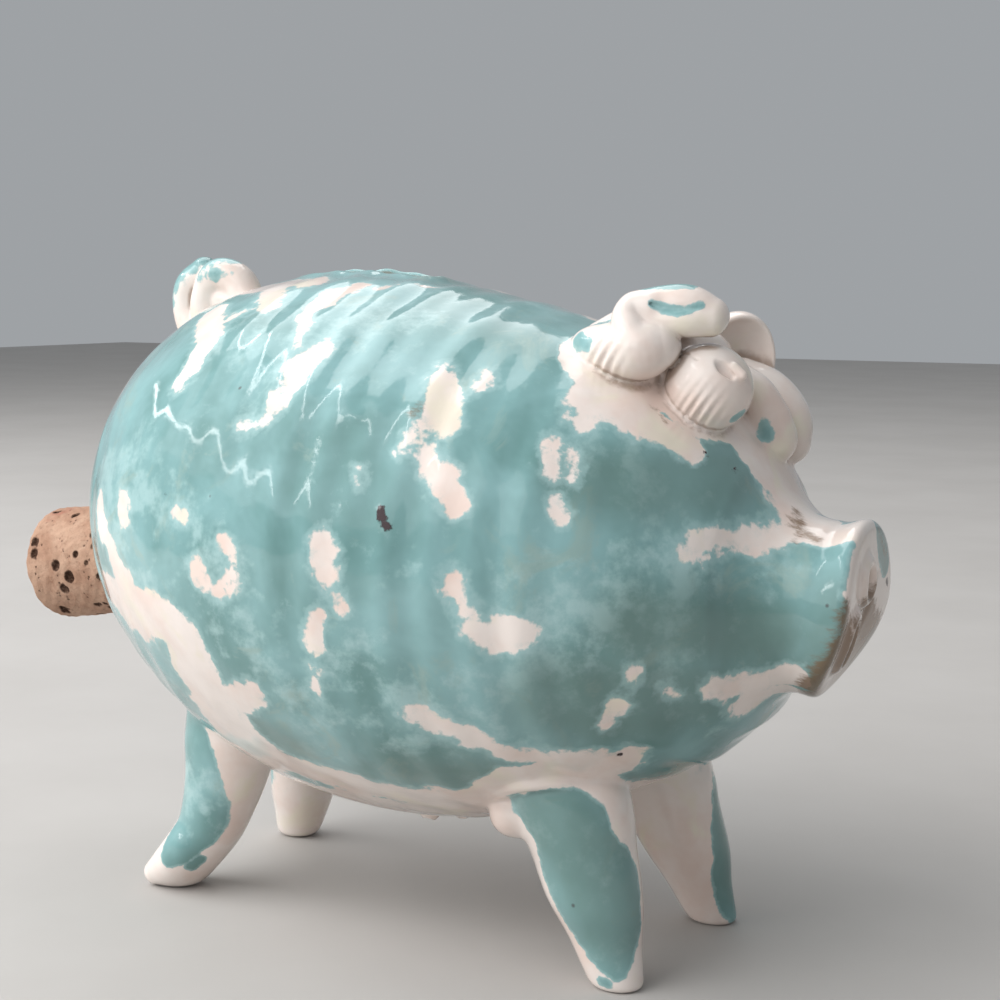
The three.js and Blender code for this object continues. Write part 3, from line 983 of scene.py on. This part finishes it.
def depth_in(points, knots):
    """Millimetres inside a stroke, down to -BARE outside it."""
    knots = np.array(knots, float)
    margin = knots[:, 3].max() + BARE
    close = within(points, knots[:, :3].min(axis=0) - margin, knots[:, :3].max(axis=0) + margin)
    depth = np.full(points.shape[1], -BARE)
    depth[close] = np.maximum(-roll(points[:, close], knots, steps=3), -BARE)
    return depth


def deepest(points, lines):
    return np.max([depth_in(points, knots) for knots in lines], axis=0)


def slip_left_white(points):
    """Millimetres inside the white where it's positive, and under the teal where it's negative."""
    slip = np.full(points.shape[1], -BARE)
    for colour, knots in STROKES:
        depth = depth_in(points, knots)
        slip = np.maximum(slip, depth) if colour == WHITE else np.minimum(slip, -depth)
    slip *= 1 + FIRMNESS * smoothstep(deepest(points, FIRM), -9, 0)
    return np.where(is_inner(points), BARE, slip)


def crease_shade(points, normals):
    """How closely other clay stands over each point, which masks the painted shade in creases: nothing in
    the open, 1 at the bottom of a crease.
    """
    above = points + CREASE * normals
    room = body_skin(above)
    for part in PARTS:
        close = part.holds(above)
        room[close] = np.minimum(room[close], part.shape(above[:, close]))
    closed = 1 - np.clip(room / CREASE, 0, 1)
    return np.where(is_inner(points), 0, closed)


def glaze_layers(points, normals):
    return {"slip": slip_left_white(points), "sponged": deepest(points, SPONGED),
            "thick_and_shaded": deepest(points, THICK_AND_SHADED), "rust_and_shade": deepest(points, RUST_AND_SHADE),
            "fleck": deepest(points, FLECKS), "crease_shade": crease_shade(points, normals)}


def cork_layers(points, normals):
    return {"pit": pit_depth(points)}


# ------ materials


class Finish:
    """A new material, and short calls for its nodes. The sockets given are the same all over it."""

    def __init__(self, name, **sockets):
        self.material = bpy.data.materials.new(name)
        self.material.use_nodes = True
        self.tree = self.material.node_tree
        self.shader = self.tree.nodes["Principled BSDF"]
        for socket, value in sockets.items():
            self.shader.inputs[socket.replace("_", " ")].default_value = value
        self.place = self.node("TexCoord").outputs["Object"]

    def node(self, kind, inputs=(), **settings):
        """A shader node with its settings made, and its inputs set or linked."""
        made = self.tree.nodes.new("ShaderNode" + kind)
        for name, value in settings.items():
            setattr(made, name, value)
        for name, value in dict(inputs).items():
            if isinstance(value, bpy.types.NodeSocket):
                self.tree.links.new(value, made.inputs[name])
            else:
                made.inputs[name].default_value = value
        return made

    def feed(self, socket, value):
        self.tree.links.new(value, self.shader.inputs[socket])

    def bump(self, height, strength, distance):
        made = self.node("Bump", {"Height": height, "Strength": strength, "Distance": distance})
        self.feed("Normal", made.outputs[0])

    def calc(self, operation, a, b):
        return self.node("Math", {0: a, 1: b}, operation=operation).outputs[0]

    def times(self, a, b):
        return self.calc("MULTIPLY", a, b)

    def spread(self, value, amount, onto):
        """onto, with value times amount added."""
        return self.calc("ADD", onto, self.times(value, amount))

    def layer(self, name):
        return self.node("Attribute", attribute_name=name).outputs["Fac"]

    def noise(self, per_metre, detail=4, roughness=0.6, stretch=(1, 1, 1), swirl=0.0):
        """A noise of so many lumps a metre, from about -0.5 to 0.5."""
        moved = self.node("Mapping", {"Vector": self.place, "Scale": stretch}).outputs[0]
        made = self.node("TexNoise", {"Vector": moved, "Scale": per_metre, "Detail": detail,
                                      "Roughness": roughness, "Distortion": swirl})
        return self.calc("SUBTRACT", made.outputs[0], 0.5)

    def cells(self, per_metre):
        """Random points, so many a metre: the distance to the nearest, and a colour of its own."""
        made = self.node("TexVoronoi", {"Vector": self.place, "Scale": per_metre})
        return made.outputs["Distance"], made.outputs["Color"]

    def step(self, value, low, high):
        made = self.node("MapRange", {"Value": value, "From Min": low, "From Max": high},
                         interpolation_type="SMOOTHSTEP")
        return made.outputs[0]

    def blend(self, share, under, over):
        return self.node("Mix", {0: share, 6: under, 7: over}, data_type="RGBA").outputs[2]

    def wash(self, under, mask, strength, over):
        """under, with over laid on it where the mask is, at the given strength."""
        return self.blend(self.times(mask, strength), under, over)


TEAL_DEEP = (0.125, 0.255, 0.245, 1)
TEAL_MID = (0.235, 0.415, 0.422, 1)
TEAL_PALE = (0.38, 0.56, 0.558, 1)
TEAL_GREEN = (0.29, 0.39, 0.345, 1)
# the teal where it lies thick, also used as painted shade
TEAL_THICK_AND_SHADED = (0.11, 0.19, 0.168, 1)
SLIP_WHITE = (0.8, 0.72, 0.67, 1)
SLIP_PINK = (0.74, 0.59, 0.52, 1)
SLIP_CREAM = (0.76, 0.69, 0.57, 1)
# brown of rust stains, darkened to serve also as painted shade on the snout's face
RUST_AND_SHADE_BROWN = (0.17, 0.095, 0.042, 1)
# painted shade, brown, in creases and where parts meet the body
CREASE_SHADE_BROWN = (0.25, 0.155, 0.095, 1)
FLECK_DARK = (0.03, 0.012, 0.014, 1)

RAGGED = 9.5  # millimetres that the brush's tears push a stroke's edge
CRUMBLY = 3.6  # and that its small crumbs push it
GLAZE_ROUGHNESS = 0.10
SPOTS_PER_METRE = 118
RARE = 0.86  # the share of spots that are left out


def teal_colour(pot):
    clouds = pot.step(pot.noise(30, swirl=0.3), -0.2, 0.16)
    colour = pot.blend(clouds, TEAL_DEEP, TEAL_MID)
    runs = pot.step(pot.noise(70, 3, 0.5, stretch=(1, 1, 0.3)), -0.1, 0.24)
    colour = pot.wash(colour, runs, 0.6, TEAL_MID)
    zones = pot.noise(34, 2, 0.5)
    sponge = pot.spread(zones, 0.8, pot.noise(170, 5, 0.62))
    open_sponge = pot.step(pot.spread(pot.layer("sponged"), 0.012, sponge), -0.04, 0.26)
    colour = pot.wash(colour, open_sponge, 0.7, TEAL_PALE)
    murky = pot.step(pot.noise(55, 5, 0.65, swirl=1.0), 0.06, 0.2)
    colour = pot.wash(colour, murky, 0.55, TEAL_GREEN)
    # darker teal where it lies thick, and painted shade where these strokes lie on the cheek, underside,
    # legs and snout
    thick_and_shaded = pot.step(pot.spread(zones, 8.0, pot.layer("thick_and_shaded")), -6.5, 4.0)
    return pot.wash(colour, thick_and_shaded, 0.62, TEAL_THICK_AND_SHADED)


def slip_colour(pot):
    blush = pot.step(pot.noise(42), -0.12, 0.2)
    colour = pot.blend(blush, SLIP_WHITE, SLIP_PINK)
    milky = pot.step(pot.noise(60, 3, 0.55, swirl=0.5), 0.04, 0.24)
    return pot.blend(milky, colour, SLIP_CREAM)


def iron_spots(pot):
    """A few specks of iron burnt through the glaze."""
    distance, tint = pot.cells(SPOTS_PER_METRE)
    chance = pot.node("SeparateColor", {"Color": tint}).outputs[0]
    return pot.times(pot.step(distance, 0.075, 0.03), pot.calc("GREATER_THAN", chance, RARE))


def glazed(name, least_veil):
    """Clear glaze over brushed teal and white slip, with painted shade in creases, over the snout's face and
    with the thick teal. least_veil is how much teal veils all the white.
    """
    pot = Finish(name, Coat_Weight=0.45, Coat_Roughness=0.03, Coat_IOR=1.5)
    crumbs = pot.noise(430, 3, 0.6)
    torn = pot.spread(pot.noise(115, 3, 0.55, swirl=0.3), RAGGED, pot.layer("slip"))
    slip = pot.spread(crumbs, CRUMBLY, torn)
    veil = pot.step(pot.noise(210, 5, 0.7), 0.02, 0.3)
    thin = pot.times(pot.step(slip, 3.5, 0.3), veil)
    veiled = pot.times(pot.calc("MAXIMUM", thin, least_veil), 0.5)
    white_share = pot.calc("SUBTRACT", pot.step(slip, -0.5, 0.6), veiled)
    fringed = pot.wash(teal_colour(pot), pot.step(slip, -2.4, -0.2), 0.5, TEAL_PALE)
    colour = pot.blend(white_share, fringed, slip_colour(pot))
    # rust stains, and painted shade over the snout's face
    rust_and_shade = pot.spread(pot.noise(480, 4, 0.7, stretch=(0.3, 1, 1)), 7.0, pot.layer("rust_and_shade"))
    colour = pot.wash(colour, pot.step(rust_and_shade, -0.6, 1.8), 0.85, RUST_AND_SHADE_BROWN)
    # painted shade: brown darkening where other clay stands close over a point
    crease = pot.spread(crumbs, 0.5, pot.layer("crease_shade"))
    colour = pot.wash(colour, pot.step(crease, 0.5, 1.05), 0.62, CREASE_SHADE_BROWN)
    spots = iron_spots(pot)
    colour = pot.wash(colour, spots, 0.7, FLECK_DARK)
    fleck = pot.step(pot.spread(crumbs, 3.0, pot.layer("fleck")), -0.2, 0.3)
    pot.feed("Base Color", pot.blend(fleck, colour, FLECK_DARK))
    dull = pot.noise(90)
    pot.feed("Roughness", pot.spread(dull, 0.10, pot.spread(spots, 0.3, GLAZE_ROUGHNESS)))
    relief = pot.spread(pot.noise(150, 2, 0.5), 0.5, pot.times(white_share, -0.16))
    relief = pot.spread(pot.noise(620, 2, 0.5), 0.09, relief)
    pot.bump(pot.spread(fleck, 0.4, relief), 0.3, 0.0009)
    return pot.material


CORK_TAN = (0.37, 0.215, 0.145, 1)
CORK_PALE = (0.48, 0.31, 0.22, 1)
CORK_BROWN = (0.2, 0.095, 0.052, 1)
CORK_RED = (0.33, 0.105, 0.075, 1)
CORK_PIT = (0.045, 0.02, 0.012, 1)


def cork_material():
    """Fine cells in paler and browner patches, small pores, and dark pits."""
    cork = Finish("cork", Roughness=0.85, Specular_IOR_Level=0.25)
    cells = cork.noise(900, 5, 0.7)
    patches = cork.noise(120, swirl=0.4)
    colour = cork.blend(cork.step(patches, -0.14, 0.18), CORK_TAN, CORK_PALE)
    colour = cork.wash(colour, cork.step(cells, 0.0, 0.28), 0.6, CORK_BROWN)
    pore_gap, _ = cork.cells(620)
    pores = cork.times(cork.step(pore_gap, 0.3, 0.12), cork.step(cork.noise(210, 2, 0.5), 0.0, 0.1))
    colour = cork.wash(colour, pores, 0.75, CORK_PIT)
    ruddy = cork.step(cork.noise(75, 3, 0.6), 0.05, 0.22)
    colour = cork.wash(colour, ruddy, 0.55, CORK_RED)
    pit = cork.step(cork.spread(cells, 0.9, cork.layer("pit")), -0.5, 0.1)
    cork.feed("Base Color", cork.blend(pit, colour, CORK_PIT))
    cork.bump(cork.calc("SUBTRACT", cork.spread(patches, 0.6, cells), pores), 0.6, 0.0008)
    return cork.material


FLOOR_GREY = (0.44, 0.42, 0.4, 1)
FLOOR_PALE = (0.48, 0.46, 0.44, 1)


def floor_material():
    finish = Finish("pale_floor", Roughness=0.7)
    tone = finish.step(finish.noise(9), -0.3, 0.3)
    finish.feed("Base Color", finish.blend(tone, FLOOR_GREY, FLOOR_PALE))
    return finish.material


# ------ pieces

POT_PITCH = 1.15
RIM_PITCH = 0.5
CORK_PITCH = 0.42
GLAZES = {"teal_glaze": glazed("teal_glaze", 0.0), "white_glaze": glazed("white_glaze", 0.08)}


def add_piece(name, field, box, pitch, body, material, layers):
    """Meshes a field inside a box of low and high corners, and paints the layers onto its points."""
    points, quads = shell(field, *box, pitch)
    piece = make_mesh(name, points, quads)
    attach(piece, body)
    piece.data.materials.append(material)
    normals = np.empty(points.size, np.float32)
    piece.data.vertices.foreach_get("normal", normals)
    for layer_name, values in layers(points, normals.reshape(-1, 3).T).items():
        attribute = piece.data.attributes.new(layer_name, "FLOAT", "POINT")
        attribute.data.foreach_set("value", values.astype(np.float32))
    return piece


def add_ceramic(name, field, box, pitch, slot):
    return add_piece(name, field, box, pitch, "bank", GLAZES[slot], glaze_layers)


def add_pot():
    pot = add_ceramic("pot_body", body_field, node_box("body_shell", 3), POT_PITCH, "teal_glaze")
    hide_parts("body_shell")
    rim_box = ((SLOT_X - 34, -12, RIM_FLOOR - 1), (SLOT_X + 34, 12, 166))
    add_ceramic("slot_rim", slot_lip_field, rim_box, RIM_PITCH, "teal_glaze")


def add_luted_parts():
    for part in PARTS:
        slot = "teal_glaze" if part.node.startswith("leg_") else "white_glaze"
        piece = add_ceramic(part.node + "_skin", part_field(part), (part.low, part.high), part.pitch, slot)
        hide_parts(part.node)


def add_cork():
    plug = add_piece("cork_plug", cork_field, node_box("cork_stopper", 2), CORK_PITCH,
                     "cork", cork_material(), cork_layers)
    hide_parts("cork_stopper")


add_pot()
add_luted_parts()
add_cork()

# ------ floor, lights and surroundings


def add_floor():
    bpy.ops.mesh.primitive_plane_add(size=6)
    floor = bpy.context.object
    floor.name = "floor"
    floor.data.materials.append(floor_material())


LIGHT_AIM = Vector((0, 0, 0.09))
WINDOW_TURN = -150
BAR_LIFTS = (30, 54)


def add_light(name, azimuth, height, distance, width, depth, power, mirrored=True):
    """A soft box seen from the pig at an azimuth and height in degrees. The glaze shows it if mirrored."""
    turn = math.radians(azimuth)
    lift = math.radians(height)
    away = Vector((math.cos(turn) * math.cos(lift), math.sin(turn) * math.cos(lift), math.sin(lift)))
    data = bpy.data.lights.new(name, "AREA")
    data.shape = "RECTANGLE"
    data.size = width
    data.size_y = depth
    data.energy = power
    light = add_object(name, data)
    light.location = LIGHT_AIM + distance * away
    light.rotation_euler = away.to_track_quat("Z", "Y").to_euler()
    light.visible_glossy = mirrored


def add_lights():
    """A bright window on the left, shown in the glaze as a sheen and two bars, and two dimmer lights."""
    add_light("left_window", -134, 34, 1.6, 2.2, 1.6, 37, mirrored=False)
    add_light("window_sheen", -122, 38, 1.6, 2.5, 1.2, 6.5)
    for number, lift in enumerate(BAR_LIFTS):
        add_light(f"window_bar_{number}", WINDOW_TURN, lift, 1.5, 1.7, 0.045, 1.5)
    add_light("front_window", -62, 40, 1.6, 1.1, 0.8, 1.6, mirrored=False)
    add_light("back_softbox", 150, 62, 1.6, 1.6, 1.2, 11)


SKY = (0.84, 0.88, 0.92, 1)
SKY_STRENGTH = 0.41


def add_world():
    world = bpy.data.worlds.new("studio")
    bpy.context.scene.world = world
    world.use_nodes = True
    background = world.node_tree.nodes["Background"]
    background.inputs["Color"].default_value = SKY
    background.inputs["Strength"].default_value = SKY_STRENGTH


add_floor()
add_lights()
add_world()
bpy.context.scene.view_settings.view_transform = "Standard"
